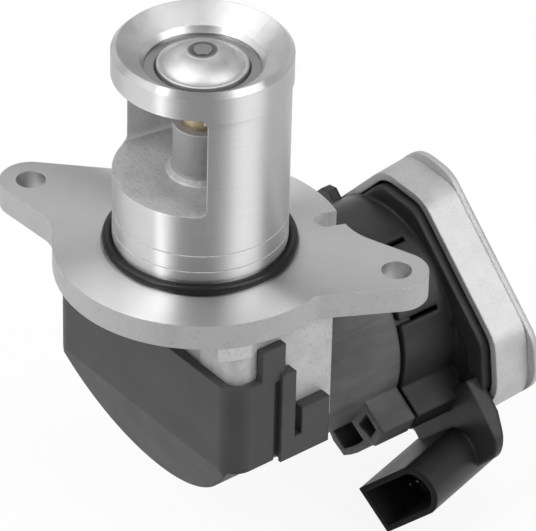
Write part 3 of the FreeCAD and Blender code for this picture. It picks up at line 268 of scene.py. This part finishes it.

# %% [markdown]
# The valve body is one aluminium casting whose barrel and flange face were turned on a lathe. Turning
# leaves rings so fine that they only show as streaks of light, so noise is read on radius and height
# instead of on X, Y and Z: it is then the same all the way round. The turned faces have a shader of
# their own whose highlights are drawn out across the rings. The untouched skin of the casting, inside
# the gas window and round the flange's edge, gets an ordinary three-way noise like fine sand, with
# specks and a few scratches. Its colour also holds painted light and shade: the window's inner wall is
# painted paler as if lit, and painted shade darkens the guide post and the flange's upright edge.
# Masks on height, radius and slope keep the borders exact.

# %% Cast and turned aluminium
# Reaches are measured from the barrel's axis and heights from the flange's face, in metres.
EAR_REACH = 0.0435
EAR_ANGLES = (110.8, -52.2)
EAR_HOLES = [(EAR_REACH * math.cos(a), EAR_REACH * math.sin(a)) for a in map(math.radians, EAR_ANGLES)]
EAR_HOLE_REACH = 0.0034
FACE_SKIN = 0.0003
BARREL_SKIN = (0.0187, 0.0199)
FUNNEL_REACH = 0.0186
RIM_FROM = 0.045
SEAT_LEVEL = 0.0438
THROAT_TO = 0.0463
POST_REACH = 0.0066
POST_HEIGHTS = (0.0195, 0.0306)
FOOT_REACH = (0.0060, 0.0074)
FOOT_HEIGHTS = (0.0190, 0.0204)
CHAMBER_HEIGHTS = (0.0190, 0.0436)
FLANGE_HEIGHTS = (-0.0062, 0.0)
FLANGE_FROM = 0.030
# A lean of 1 turns a normal half way towards the outside; the depths are those of the marks.
RIM_LEAN = 0.9
EDGE_ROUND = 0.0002
CAST_DEPTH = 0.00030
TURNED_DEPTH = 0.00004


def casting_zones(f, x, y, z, r):
    """Masks that are 1 on one zone of the casting each, found by place and slope."""
    nx, ny, nz = f.facing()
    outward = (nx * x + ny * y) / r
    face = nz.above(0.9) * z.between(-FACE_SKIN, FACE_SKIN)
    wall = r.between(*BARREL_SKIN) * z.above(0.0) * outward.above(0.9)
    rim_cut = outward.above(0.4) * nz.above(0.4) * z.above(RIM_FROM)
    mouth = z.above(SEAT_LEVEL) * r.below(FUNNEL_REACH)
    drilled = nz.below(0.5) * z.below(0.0) * f.near_any(x, y, EAR_HOLES, EAR_HOLE_REACH)
    return {
        "face": face, "rim_cut": rim_cut,
        "turned": face.at_least(wall).at_least(rim_cut),
        "smooth": mouth.at_least(drilled),
        "throat": mouth * z.below(THROAT_TO),
        "post": r.below(POST_REACH) * z.between(*POST_HEIGHTS),
        "post_foot": r.between(*FOOT_REACH) * nz.between(0.4, 0.9) * z.between(*FOOT_HEIGHTS),
        "painted_light_wall": outward.below(-0.5) * z.between(*CHAMBER_HEIGHTS),
        "edge": nz.below(0.5) * z.between(*FLANGE_HEIGHTS) * r.above(FLANGE_FROM),
        "not_level": nz.below(0.9)}


def casting_normal(f, x, y, r, zones):
    """Rounded edges, except on the rim; the rim and the post's foot lean outwards."""
    leaning = zones["rim_cut"] + zones["post_foot"]
    outwards = f.vector(x / r * leaning, y / r * leaning, 0.0)
    rounded = f.mixed(zones["rim_cut"], f.round_edges(EDGE_ROUND), f.surface_normal())
    return f.leaned(rounded, outwards, RIM_LEAN)


def sand_skin(f, x, y, z, zones, grain, lumps, stain):
    """Grey, specks, scratches; painted shade on the post and edge, painted light on the inner wall."""
    along, across = (x + z) * 70.0, (x - z) * 1300.0
    scratch = f.noise(1.0, 1.0, f.vector(along, across, y * 260.0))
    scratched = scratch.between(0.490, 0.510) * stain.above(0.52) * zones["not_level"]
    speck = f.spread(lumps, 0.30, 0.44, 1.0, 0.0)
    sand = f.mixed(f.spread(stain + grain * 0.5, 0.45, 1.05), grey(0.42), grey(0.62))
    sand = f.mixed(speck * 0.35, sand, grey(0.24))
    sand = f.mixed(scratched * 0.45, sand, grey(0.72))
    # Painted shade: the guide post inside the gas window is made darker.
    sand = f.mixed(zones["post"] * 0.6, sand, grey(0.26))
    # Painted light: the inner wall of the gas window is made paler, as if lit.
    sand = f.mixed(zones["painted_light_wall"] * 0.7, sand, grey(0.90))
    # Painted shade: the flange's upright edge is made darker, more in some patches than in others.
    return f.mixed(zones["edge"] * f.spread(stain, 0.3, 0.7, 0.15, 0.75), sand, grey(0.34))


def cast_aluminium():
    f = Finish("cast_aluminium")
    x, y, z = f.xyz()
    r = (x * x + y * y).root()
    zones = casting_zones(f, x, y, z, r)
    normal = casting_normal(f, x, y, r, zones)
    smooth, rim_cut = zones["smooth"], zones["rim_cut"]

    # The untouched skin, and the smoother funnel and ear holes.
    grain = f.noise(2600.0, 4.0, None, 0.6)
    lumps = f.noise(900.0, 3.0, None, 0.6)
    stain = f.noise(110.0, 4.0, None, 0.6)
    sand = sand_skin(f, x, y, z, zones, grain, lumps, stain)
    clean = f.mixed(f.spread(stain, 0.35, 0.65), grey(0.55), grey(0.65))
    f.set(base_color=f.mixed(smooth, sand, clean), metallic=smooth * 0.6 + 0.4,
          roughness=f.spread(stain, 0.3, 0.7, 0.46, 0.60) - smooth * 0.06 - zones["throat"] * 0.11,
          normal=f.bump((grain * 0.4 + lumps * 0.8) * (1 - smooth), 0.6, CAST_DEPTH, normal))

    # The turned faces: rings from the tool, and soft streaks where it chattered.
    rings = f.noise(1.0, 3.0, f.vector(r * zones["face"] * 7000.0, z * 7000.0, 0.0), 0.65)
    streaks = f.noise(1.0, 2.0, f.vector(x * 90.0, y * 90.0, z * 2600.0), 0.6)
    lathe = f.second_shader()
    f.fill(lathe, base_color=f.mixed(f.spread(rings + streaks * 0.3, 0.4, 0.9), grey(0.62), grey(0.76)),
           metallic=1.0, roughness=0.40 - rim_cut * 0.10, anisotropic=1.0, anisotropic_rotation=0.25,
           normal=f.bump(rings * (1 - rim_cut), 0.4, TURNED_DEPTH, normal))
    f.share_between(zones["turned"], lathe)
    return f


finishes["cast_aluminium"] = cast_aluminium()


def cover_aluminium():
    f = Finish("cover_aluminium")
    grain = f.noise(2400.0, 4.0, None, 0.65)
    cloud = f.noise(130.0, 4.0, None, 0.6)
    skin = f.mixed(f.spread(cloud + grain * 0.6, 0.5, 1.1), grey(0.44), grey(0.62))
    f.set(base_color=skin, metallic=0.7, roughness=f.spread(cloud, 0.2, 0.8, 0.42, 0.56),
          normal=f.bump(grain + cloud * 0.5, 0.4, 0.00014, f.round_edges(0.0006)))
    return f


finishes["cover_aluminium"] = cover_aluminium()
print("aluminium finishes:", sorted(finishes))

# %% [markdown]
# The cap, the motor housing and the gear case are glass-filled nylon. Such a moulding copies the
# spark-eroded steel of its mould, so it has a fine even grain and a low, wide sheen, a little paler
# where hands and hot oil have rubbed it. Its sharp corners are never quite sharp.

# %% Moulded plastics
SOCKET_MOUTH = Vector((0.0319, -0.0336, -0.065))
SOCKET_TURN = math.radians(15.5)
SOCKET_EDGE = (-0.002, 0.0006)
SOCKET_TOP, SOCKET_SIDE = -0.045, -0.015
PLASTIC_DEPTH = 0.00012


def shaded_socket_rim(x, y, z):
    """1 on the socket's front edge, which is made black and dull as painted shade."""
    inwards = (x - SOCKET_MOUTH.x) * math.cos(SOCKET_TURN) + (y - SOCKET_MOUTH.y) * math.sin(SOCKET_TURN)
    return inwards.between(*SOCKET_EDGE) * z.below(SOCKET_TOP) * y.below(SOCKET_SIDE)


def moulded(name, level, rough, edge=0.0006, patchy=0.2, shade_mask=None):
    """A plastic of a grey level, with the radius of its edges, its patchiness and a mask for painted
    shade.
    """
    f = Finish(name)
    x, y, z = f.xyz()
    grain = f.noise(4200.0, 2.0, None, 0.6)
    cloud = f.noise(90.0, 4.0, None, 0.6)
    flow = f.noise(1.0, 4.0, f.vector(x * 22.0, y * 60.0, z * 110.0), 0.6)
    lines = f.noise(1.0, 1.0, f.vector(0.0, 0.0, z * 1500.0))
    shade = f.spread(cloud * 0.5 + flow + lines * 0.2, 0.60, 1.10)
    skin = f.mixed(shade, grey(level * (1 - patchy)), grey(level * (1 + patchy)))
    matt = f.spread(cloud, 0.25, 0.75, rough - 0.07, rough + 0.08)
    # Painted shade: where the mask is 1, the plastic is made near-black and duller.
    if shade_mask:
        painted_shade = shade_mask(x, y, z)
        skin = f.mixed(painted_shade, skin, grey(0.003))
        matt = matt + painted_shade * 0.5
    f.set(base_color=skin, roughness=matt, metallic=0.0, specular_ior_level=0.45,
          normal=f.bump(grain + cloud * 0.6, 0.3, PLASTIC_DEPTH, f.round_edges(edge)))
    return f


finishes["cap_plastic"] = moulded("cap_plastic", 0.042, 0.48, 0.0006, 0.16)
finishes["motor_housing_plastic"] = moulded("motor_housing_plastic", 0.082, 0.44, 0.0012, 0.5)
finishes["gear_case_plastic"] = moulded("gear_case_plastic", 0.020, 0.38, 0.0012, 0.4, shaded_socket_rim)
finishes["gear_plastic"] = moulded("gear_plastic", 0.62, 0.40, 0.0002)
finishes["board"] = moulded("board", 0.05, 0.35, 0.0001)


def rubber_seal():
    f = Finish("rubber_seal")
    dust = f.noise(900.0, 3.0)
    f.set(base_color=f.mixed(dust, grey(0.006), grey(0.012)), metallic=0.0, specular_ior_level=0.3,
          roughness=f.spread(dust, 0.3, 0.7, 0.26, 0.34))
    return f


finishes["rubber_seal"] = rubber_seal()
print("plastic and rubber finishes added:", len(finishes))

# %% [markdown]
# The small metal parts are turned, ground, drawn or stamped. One function makes them all from a
# colour, a roughness and the size of the marks that the tool left. The valve's head has a finish of its
# own: satin steel whose highlights run round it, with a darker ring where it is riveted to the stem.

# %% Small metal parts
RIVET_LEVEL = 0.040
RIVET_REACH = 0.0015
RING_RADIUS = 0.0023
RING_HALVES = (0.3e-6, 1.2e-6)


def worked_metal(name, colour, rough, marks, strength=0.25):
    f = Finish(name)
    tool = f.noise(marks, 3.0, None, 0.6)
    tint = f.noise(300.0, 3.0)
    dark = tuple(c * 0.82 for c in colour)
    f.set(base_color=f.mixed(tint, dark, colour), metallic=1.0,
          roughness=f.spread(tint, 0.2, 0.8, rough - 0.05, rough + 0.08),
          normal=f.bump(tool, strength, TURNED_DEPTH, f.round_edges(EDGE_ROUND)))
    return f


def valve_steel():
    f = Finish("valve_steel")
    x, y, z = f.xyz()
    r = (x * x + y * y).root()
    rings = f.noise(1.0, 3.0, f.vector(r * 8000.0, z * 8000.0, 0.0), 0.6)
    tint = f.noise(250.0, 3.0)
    from_ring = r - RING_RADIUS
    ring = f.spread(from_ring * from_ring, *RING_HALVES, 1.0, 0.0) * z.above(RIVET_LEVEL)
    rivet = r.below(RIVET_REACH) * z.above(RIVET_LEVEL)
    clean = f.mixed(f.spread(tint + rings * 0.4, 0.45, 0.95), grey(0.46), grey(0.62))
    skin = f.mixed(ring * 0.9, f.mixed(rivet, clean, grey(0.30)), grey(0.12))
    f.set(base_color=skin, metallic=1.0, roughness=0.46, anisotropic=0.6, anisotropic_rotation=0.0,
          normal=f.bump(rings, 0.2, TURNED_DEPTH, f.round_edges(0.0003)))
    return f


finishes["valve_steel"] = valve_steel()
for name, colour, rough, marks in (
        ("spring_steel", grey(0.34), 0.32, 3000.0),
        ("screw_steel", grey(0.50, 0.03), 0.34, 3000.0), ("can_steel", grey(0.50), 0.36, 2500.0),
        ("magnet", grey(0.10), 0.50, 4000.0), ("brush_carbon", grey(0.05), 0.55, 5000.0),
        ("contact_brass", (0.42, 0.34, 0.20), 0.40, 4000.0), ("bronze", (0.64, 0.53, 0.35), 0.34, 4000.0),
        ("copper_winding", (0.62, 0.25, 0.10), 0.30, 2500.0)):
    finishes[name] = worked_metal(name, colour, rough, marks)
# Painted shade: the seat's steel is darker so that a dark band shows round the valve's head.
finishes["seat_steel"] = worked_metal("seat_steel", grey(0.33), 0.26, 1500.0, 0.04)
print(len(finishes), "finishes")

# %% [markdown]
# Each solid already knows which slot of the record it belongs to, so one loop gives every solid
# its finish.

# %% Dress the solids
slot_of = {part["node"]: part["material_slot"] for part in frame["record"]["subparts"]}
for name, solid in nodes.items():
    solid.data.materials.clear()
    solid.data.materials.append(finishes[slot_of[name]].material)
print("dressed", len(slot_of), "solids")

# %% [markdown]
# The pieces that follow are shaped by hand with edit mode operators. An operator works on whatever
# is selected, and loading the frame left every solid selected, so each piece starts from a clean
# bench. When a piece is shaped, its seams are merged, its faces turned outwards, its place is kept
# in its mesh, and it is told which body it rides on and which slot its finish comes from.

# %% Bench helpers
MM = 0.001
MERGE = 2e-6


def clear_bench():
    if bpy.context.object and bpy.context.object.mode != "OBJECT":
        bpy.ops.object.mode_set(mode="OBJECT")
    bpy.ops.object.select_all(action="DESELECT")


def pick_faces(mesh, test):
    """In edit mode, leave selected only the faces that pass the test."""
    bpy.ops.mesh.select_mode(type="FACE")
    bpy.ops.mesh.select_all(action="DESELECT")
    bpy.ops.object.mode_set(mode="OBJECT")
    for face in mesh.polygons:
        face.select = test(face)
    bpy.ops.object.mode_set(mode="EDIT")


def finish_piece(name, body, slot, crease=35):
    piece = bpy.context.object
    piece.name = name
    bpy.ops.object.mode_set(mode="EDIT")
    bpy.ops.mesh.select_mode(type="VERT")
    bpy.ops.mesh.select_all(action="SELECT")
    bpy.ops.mesh.remove_doubles(threshold=MERGE)
    bpy.ops.mesh.normals_make_consistent(inside=False)
    bpy.ops.object.mode_set(mode="OBJECT")
    bpy.ops.object.transform_apply(location=True, rotation=True, scale=True)
    bpy.ops.object.shade_smooth_by_angle(angle=math.radians(crease))
    piece.data.materials.clear()
    piece.data.materials.append(finishes[slot].material)
    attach(piece, body)
    print(name, len(piece.data.polygons), "faces, on", body)
    return piece


# %% [markdown]
# The valve's head is turned from steel bar: a flat disc in the middle, a dome that falls to a thin
# groove, a rim, and a cone below that meets the seat. Spinning a profile would make it in one go. Here
# one ring of points is extruded and resized down the profile, as a lathe tool would walk it, which
# keeps every ring level and makes the dome's arc easy to write.

# %% Domed valve head
HEAD_AROUND = 128
DOME_STEPS = 14
DOME_FROM, DOME_TO = math.radians(13), math.radians(50)
DOME_STEP = 0.1 * MM


def walk_rings(profile, around):
    """Extrude a circle from ring to ring; the last ring of a closed profile lies on the first."""
    clear_bench()
    radius, height = profile[0]
    bpy.ops.mesh.primitive_circle_add(vertices=around, radius=radius, location=(0, 0, height))
    bpy.ops.object.transform_apply(location=True)
    bpy.ops.object.mode_set(mode="EDIT")
    bpy.ops.mesh.select_all(action="SELECT")
    for (r0, z0), (r1, z1) in zip(profile, profile[1:]):
        bpy.ops.mesh.extrude_region_move(TRANSFORM_OT_translate={"value": (0, 0, z1 - z0)})
        bpy.ops.transform.resize(value=(r1 / r0, r1 / r0, 1), center_override=(0, 0, z1))


def head_profile():
    """Pairs of radius and height: disc, dome, groove, rim, the cone for the seat, neck and bore."""
    low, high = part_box("valve_head")
    bore, flat, rim = 2.12 * MM, 3.65 * MM, high.x
    top, rim_top = high.z, high.z - 3.24 * MM
    dome_foot = rim - 1.15 * MM
    # The disc ends in a small step, and the dome is an arc that falls from there.
    size = (dome_foot - flat - DOME_STEP) / (math.sin(DOME_TO) - math.sin(DOME_FROM))
    rings = [(bore, top), (flat, top)]
    for i in range(DOME_STEPS + 1):
        a = DOME_FROM + (DOME_TO - DOME_FROM) * i / DOME_STEPS
        out = size * (math.sin(a) - math.sin(DOME_FROM))
        fall = size * (math.cos(DOME_FROM) - math.cos(a))
        rings.append((flat + DOME_STEP + out, top - DOME_STEP - fall))
    # The groove's floor, the rim with its top corner cut, and the rim's side.
    groove = rim_top - 0.14 * MM
    rings += [(rim - 1.05 * MM, groove), (rim - 0.90 * MM, groove)]
    rings += [(rim - 0.75 * MM, rim_top), (rim - 0.2 * MM, rim_top), (rim, rim_top - 0.2 * MM)]
    # The cone that meets the seat, and the steps down to the neck.
    rings += [(rim, top - 4.59 * MM), (rim - 1.2 * MM, top - 5.79 * MM)]
    rings += [(5.2 * MM, top - 7.09 * MM), (3.4 * MM, top - 8.59 * MM), (2.5 * MM, low.z)]
    return rings + [(bore, low.z), (bore, top)]


walk_rings(head_profile(), HEAD_AROUND)
domed_head = finish_piece("domed_valve_head", "valve", "valve_steel", 25)
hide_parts("valve_head")

# %% [markdown]
# The closing spring is wound from round wire. It is the one piece that changes its length: it stands
# between the seal's housing and the retainer, and shortens as the valve lifts. The solid can't do
# that, so a coil of the same wire takes its place. A disc is extruded, turned and lifted a little at a
# time up the winding.

# %% Closing spring
WIRE_R, COIL_R, COILS = 0.8 * MM, 6.8 * MM, 5
WIRE_SIDES, COIL_STEPS = 16, 36
SPRING_LOW, SPRING_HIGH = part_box("closing_spring")


def wind_spring():
    clear_bench()
    low, high = SPRING_LOW.z + WIRE_R, SPRING_HIGH.z - WIRE_R
    step_up = (high - low) / (COILS * COIL_STEPS)
    turn = 2 * math.pi / COIL_STEPS
    bpy.ops.mesh.primitive_circle_add(vertices=WIRE_SIDES, radius=WIRE_R, fill_type="NGON",
                                      location=(COIL_R, 0, low), rotation=(math.pi / 2, 0, 0))
    bpy.ops.object.transform_apply(location=True, rotation=True)
    bpy.ops.object.mode_set(mode="EDIT")
    bpy.ops.mesh.select_all(action="SELECT")
    for _ in range(COILS * COIL_STEPS):
        bpy.ops.mesh.extrude_region_move(TRANSFORM_OT_translate={"value": (0, 0, step_up)})
        bpy.ops.transform.rotate(value=-turn, orient_axis="Z", center_override=(0, 0, 0))
    return finish_piece("wound_closing_spring", "housing", "spring_steel")


spring = wind_spring()
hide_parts("closing_spring")
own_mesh(spring)

# %% [markdown]
# The circuit board inside the cover senses how far the crank has turned. On a real board small
# packages of black plastic are soldered down by their legs. Here a package is a bevelled block with
# three bevelled legs along two of its sides, joined into one piece. A package could also be drawn as
# a solid, but nothing mates with it, so it is part of the dressing.

# %% Parts on the sensor board
BOARD_TURN = math.radians(42.6)
BOARD_LOW, BOARD_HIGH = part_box("sensor_board")
BOARD_MIDDLE = (BOARD_LOW + BOARD_HIGH) / 2
PACKAGE = Vector((0.9, 3.2, 2.6)) * MM
PACKAGE_BEVEL = 0.12 * MM
PACKAGE_AWAY = 5.6 * MM
LEGS = 3
LEG = Vector((0.25, 0.5, 0.35)) * MM
LEG_BEVEL = 0.04 * MM


def board_point(across, up, out):
    """The point that lies across and up on the board from its middle, and out in front of it."""
    c, s = math.cos(BOARD_TURN), math.sin(BOARD_TURN)
    y = BOARD_MIDDLE.y + across * c - up * s
    z = BOARD_MIDDLE.z + across * s + up * c
    return Vector((BOARD_LOW.x - out, y, z))


def small_block(centre, size, bevel):
    """A bevelled cube at its size and place on the board."""
    clear_bench()
    bpy.ops.mesh.primitive_cube_add(size=1, enter_editmode=True, location=(0, 0, 0))
    bpy.ops.transform.resize(value=tuple(size), center_override=(0, 0, 0))
    bpy.ops.mesh.bevel(offset=bevel, segments=2)
    bpy.ops.object.mode_set(mode="OBJECT")
    block = bpy.context.object
    block.rotation_euler = (BOARD_TURN, 0, 0)
    block.location = centre
    bpy.ops.object.transform_apply(location=True, rotation=True)
    return block


def board_package(name, across):
    made = [small_block(board_point(across, 0.0, PACKAGE.x / 2), PACKAGE, PACKAGE_BEVEL)]
    for side in (-1, 1):
        for i in range(LEGS):
            away = (i - (LEGS - 1) / 2) * PACKAGE.y / LEGS
            up = side * (PACKAGE.z + LEG.z) / 2
            made.append(small_block(board_point(across + away, up, LEG.x / 2), LEG, LEG_BEVEL))
    clear_bench()
    for part in made:
        part.select_set(True)
    bpy.context.view_layer.objects.active = made[0]
    bpy.ops.object.join()
    return finish_piece(name, "housing", "board")


board_package("board_package_left", -PACKAGE_AWAY)
board_package("board_package_right", PACKAGE_AWAY)

# %% [markdown]
# Under the flange the casting's front wall reaches a little lower beside the near pillar than the
# solid has it, so that the room behind the cap can't be looked into. It is a thin web, made from a
# cube whose front face is inset and pushed back, with all its edges bevelled, sunk into the casting.

# %% Web beside the pillar
WEB_LOW = Vector((-13.65, -18.5, -21.0)) * MM
WEB_HIGH = Vector((-12.0, -6.0, -8.6)) * MM
WEB_RIM = 1.2 * MM
WEB_RECESS = 0.35 * MM
WEB_BEVEL = 0.4 * MM


def casting_web():
    clear_bench()
    middle, size = (WEB_LOW + WEB_HIGH) / 2, WEB_HIGH - WEB_LOW
    bpy.ops.mesh.primitive_cube_add(size=1, location=middle)
    web = bpy.context.object
    web.scale = size
    bpy.ops.object.transform_apply(location=True, scale=True)
    bpy.ops.object.mode_set(mode="EDIT")
    bpy.ops.mesh.select_all(action="SELECT")
    bpy.ops.mesh.bevel(offset=WEB_BEVEL, segments=3)
    pick_faces(web.data, lambda face: face.normal.x < -0.99)
    bpy.ops.mesh.inset(thickness=WEB_RIM)
    bpy.ops.transform.translate(value=(WEB_RECESS, 0, 0))
    return finish_piece("casting_web", "housing", "cast_aluminium")


casting_web()

# %% [markdown]
# The valve lies on a pale table. Five soft lamps light it: broad ones to the left and right of the
# camera each draw an upright streak on the barrel and a fan of light on the turned face, a narrow one
# sharpens the left streak, and the ones overhead and behind lift the funnel and the far edges. What
# shiny metal mirrors of the table is pale, but one side of it is dark, as if a black card lay there,
# and that gives the barrel its dark bands between the streaks. The card is at a fixed place.

# %% Table and light
TABLE_DROP = 0.0015
TABLE_Z = cad_box[0][2] - TABLE_DROP
TABLE_SIZE = 8.0
TABLE_PALE = 0.86
TABLE_ROUGH = 0.9
TABLE_GLOW = 0.90
TABLE_SHEEN = 0.7
CARD_AZIMUTH = math.radians(231.5)
CARD_FROM, CARD_FULL = 0.55, 0.98
MIRRORED_PALE, MIRRORED_DARK = 0.95, 0.22
WORLD_STRENGTH = 0.32


def table_finish():
    """A lit floor that the camera sees nearly white, and that metal mirrors as pale with a dark side."""
    f = Finish("table")
    tree = f.tree
    f.set(base_color=grey(TABLE_PALE), roughness=TABLE_ROUGH)
    ray = tree.nodes.new("ShaderNodeLightPath")
    camera_ray = Wire(f, ray.outputs["Is Camera Ray"])
    glossy_ray = Wire(f, ray.outputs["Is Glossy Ray"])
    clear_ray = Wire(f, ray.outputs["Is Transmission Ray"])

    x, y = f.xyz()[:2]
    away = (x * x + y * y).root()
    towards_card = (x * math.cos(CARD_AZIMUTH) + y * math.sin(CARD_AZIMUTH)) / away
    card_edge = {0: towards_card, 1: CARD_FROM, 2: CARD_FULL, 3: MIRRORED_PALE, 4: MIRRORED_DARK}
    level = f.node("MapRange", {"interpolation_type": "SMOOTHSTEP"}, card_edge)

    lit = Wire(f, f.shader.outputs[0])
    glow = f.node("Emission", None, {"Color": grey(1.0)})
    seen = f.node("MixShader", None, {0: camera_ray * TABLE_GLOW, 1: lit, 2: glow})
    mirrored = f.node("Emission", None, {"Strength": level})
    mirrored_share = glossy_ray.at_least(clear_ray) * TABLE_SHEEN
    both = f.node("MixShader", None, {0: mirrored_share, 1: seen, 2: mirrored})
    tree.links.new(both.socket, tree.nodes["Material Output"].inputs[0])
    return f.material


bpy.ops.mesh.primitive_plane_add(size=TABLE_SIZE, location=(0, 0, TABLE_Z))
table = bpy.context.object
table.name = "table"
table.data.materials.append(table_finish())


def soft_lamp(name, azimuth, height, far, size, power):
    """A rectangle aimed at the barrel's foot. Angles are in degrees, lengths in metres, power in watts."""
    lamp = bpy.data.objects.new(name, bpy.data.lights.new(name, "AREA"))
    lamp.data.shape = "RECTANGLE"
    lamp.data.size, lamp.data.size_y = size
    lamp.data.energy = power
    a, e = math.radians(azimuth), math.radians(height)
    lamp.location = Vector((math.cos(a) * math.cos(e), math.sin(a) * math.cos(e), math.sin(e))) * far
    lamp.rotation_euler = (-lamp.location).to_track_quat("-Z", "Y").to_euler()
    bpy.context.scene.collection.objects.link(lamp)


soft_lamp("lamp_left", azimuth=145, height=45, far=1.2, size=(1.1, 1.2), power=7.0)
soft_lamp("lamp_strip", azimuth=181, height=38, far=1.2, size=(0.20, 1.1), power=4.5)
soft_lamp("lamp_right", azimuth=-69, height=40, far=1.2, size=(0.85, 1.1), power=8.2)
soft_lamp("lamp_above", azimuth=90, height=80, far=1.4, size=(1.3, 1.3), power=3.5)
soft_lamp("lamp_back", azimuth=51, height=33, far=1.5, size=(1.8, 0.9), power=2.4)

world = bpy.data.worlds.new("world")
bpy.context.scene.world = world
world.use_nodes = True
sky = world.node_tree.nodes["Background"]
sky.inputs["Strength"].default_value = WORLD_STRENGTH
sky.inputs["Color"].default_value = (1, 1, 1, 1)
bpy.context.scene.view_settings.view_transform = "Standard"
print("table at", round(TABLE_Z, 4))
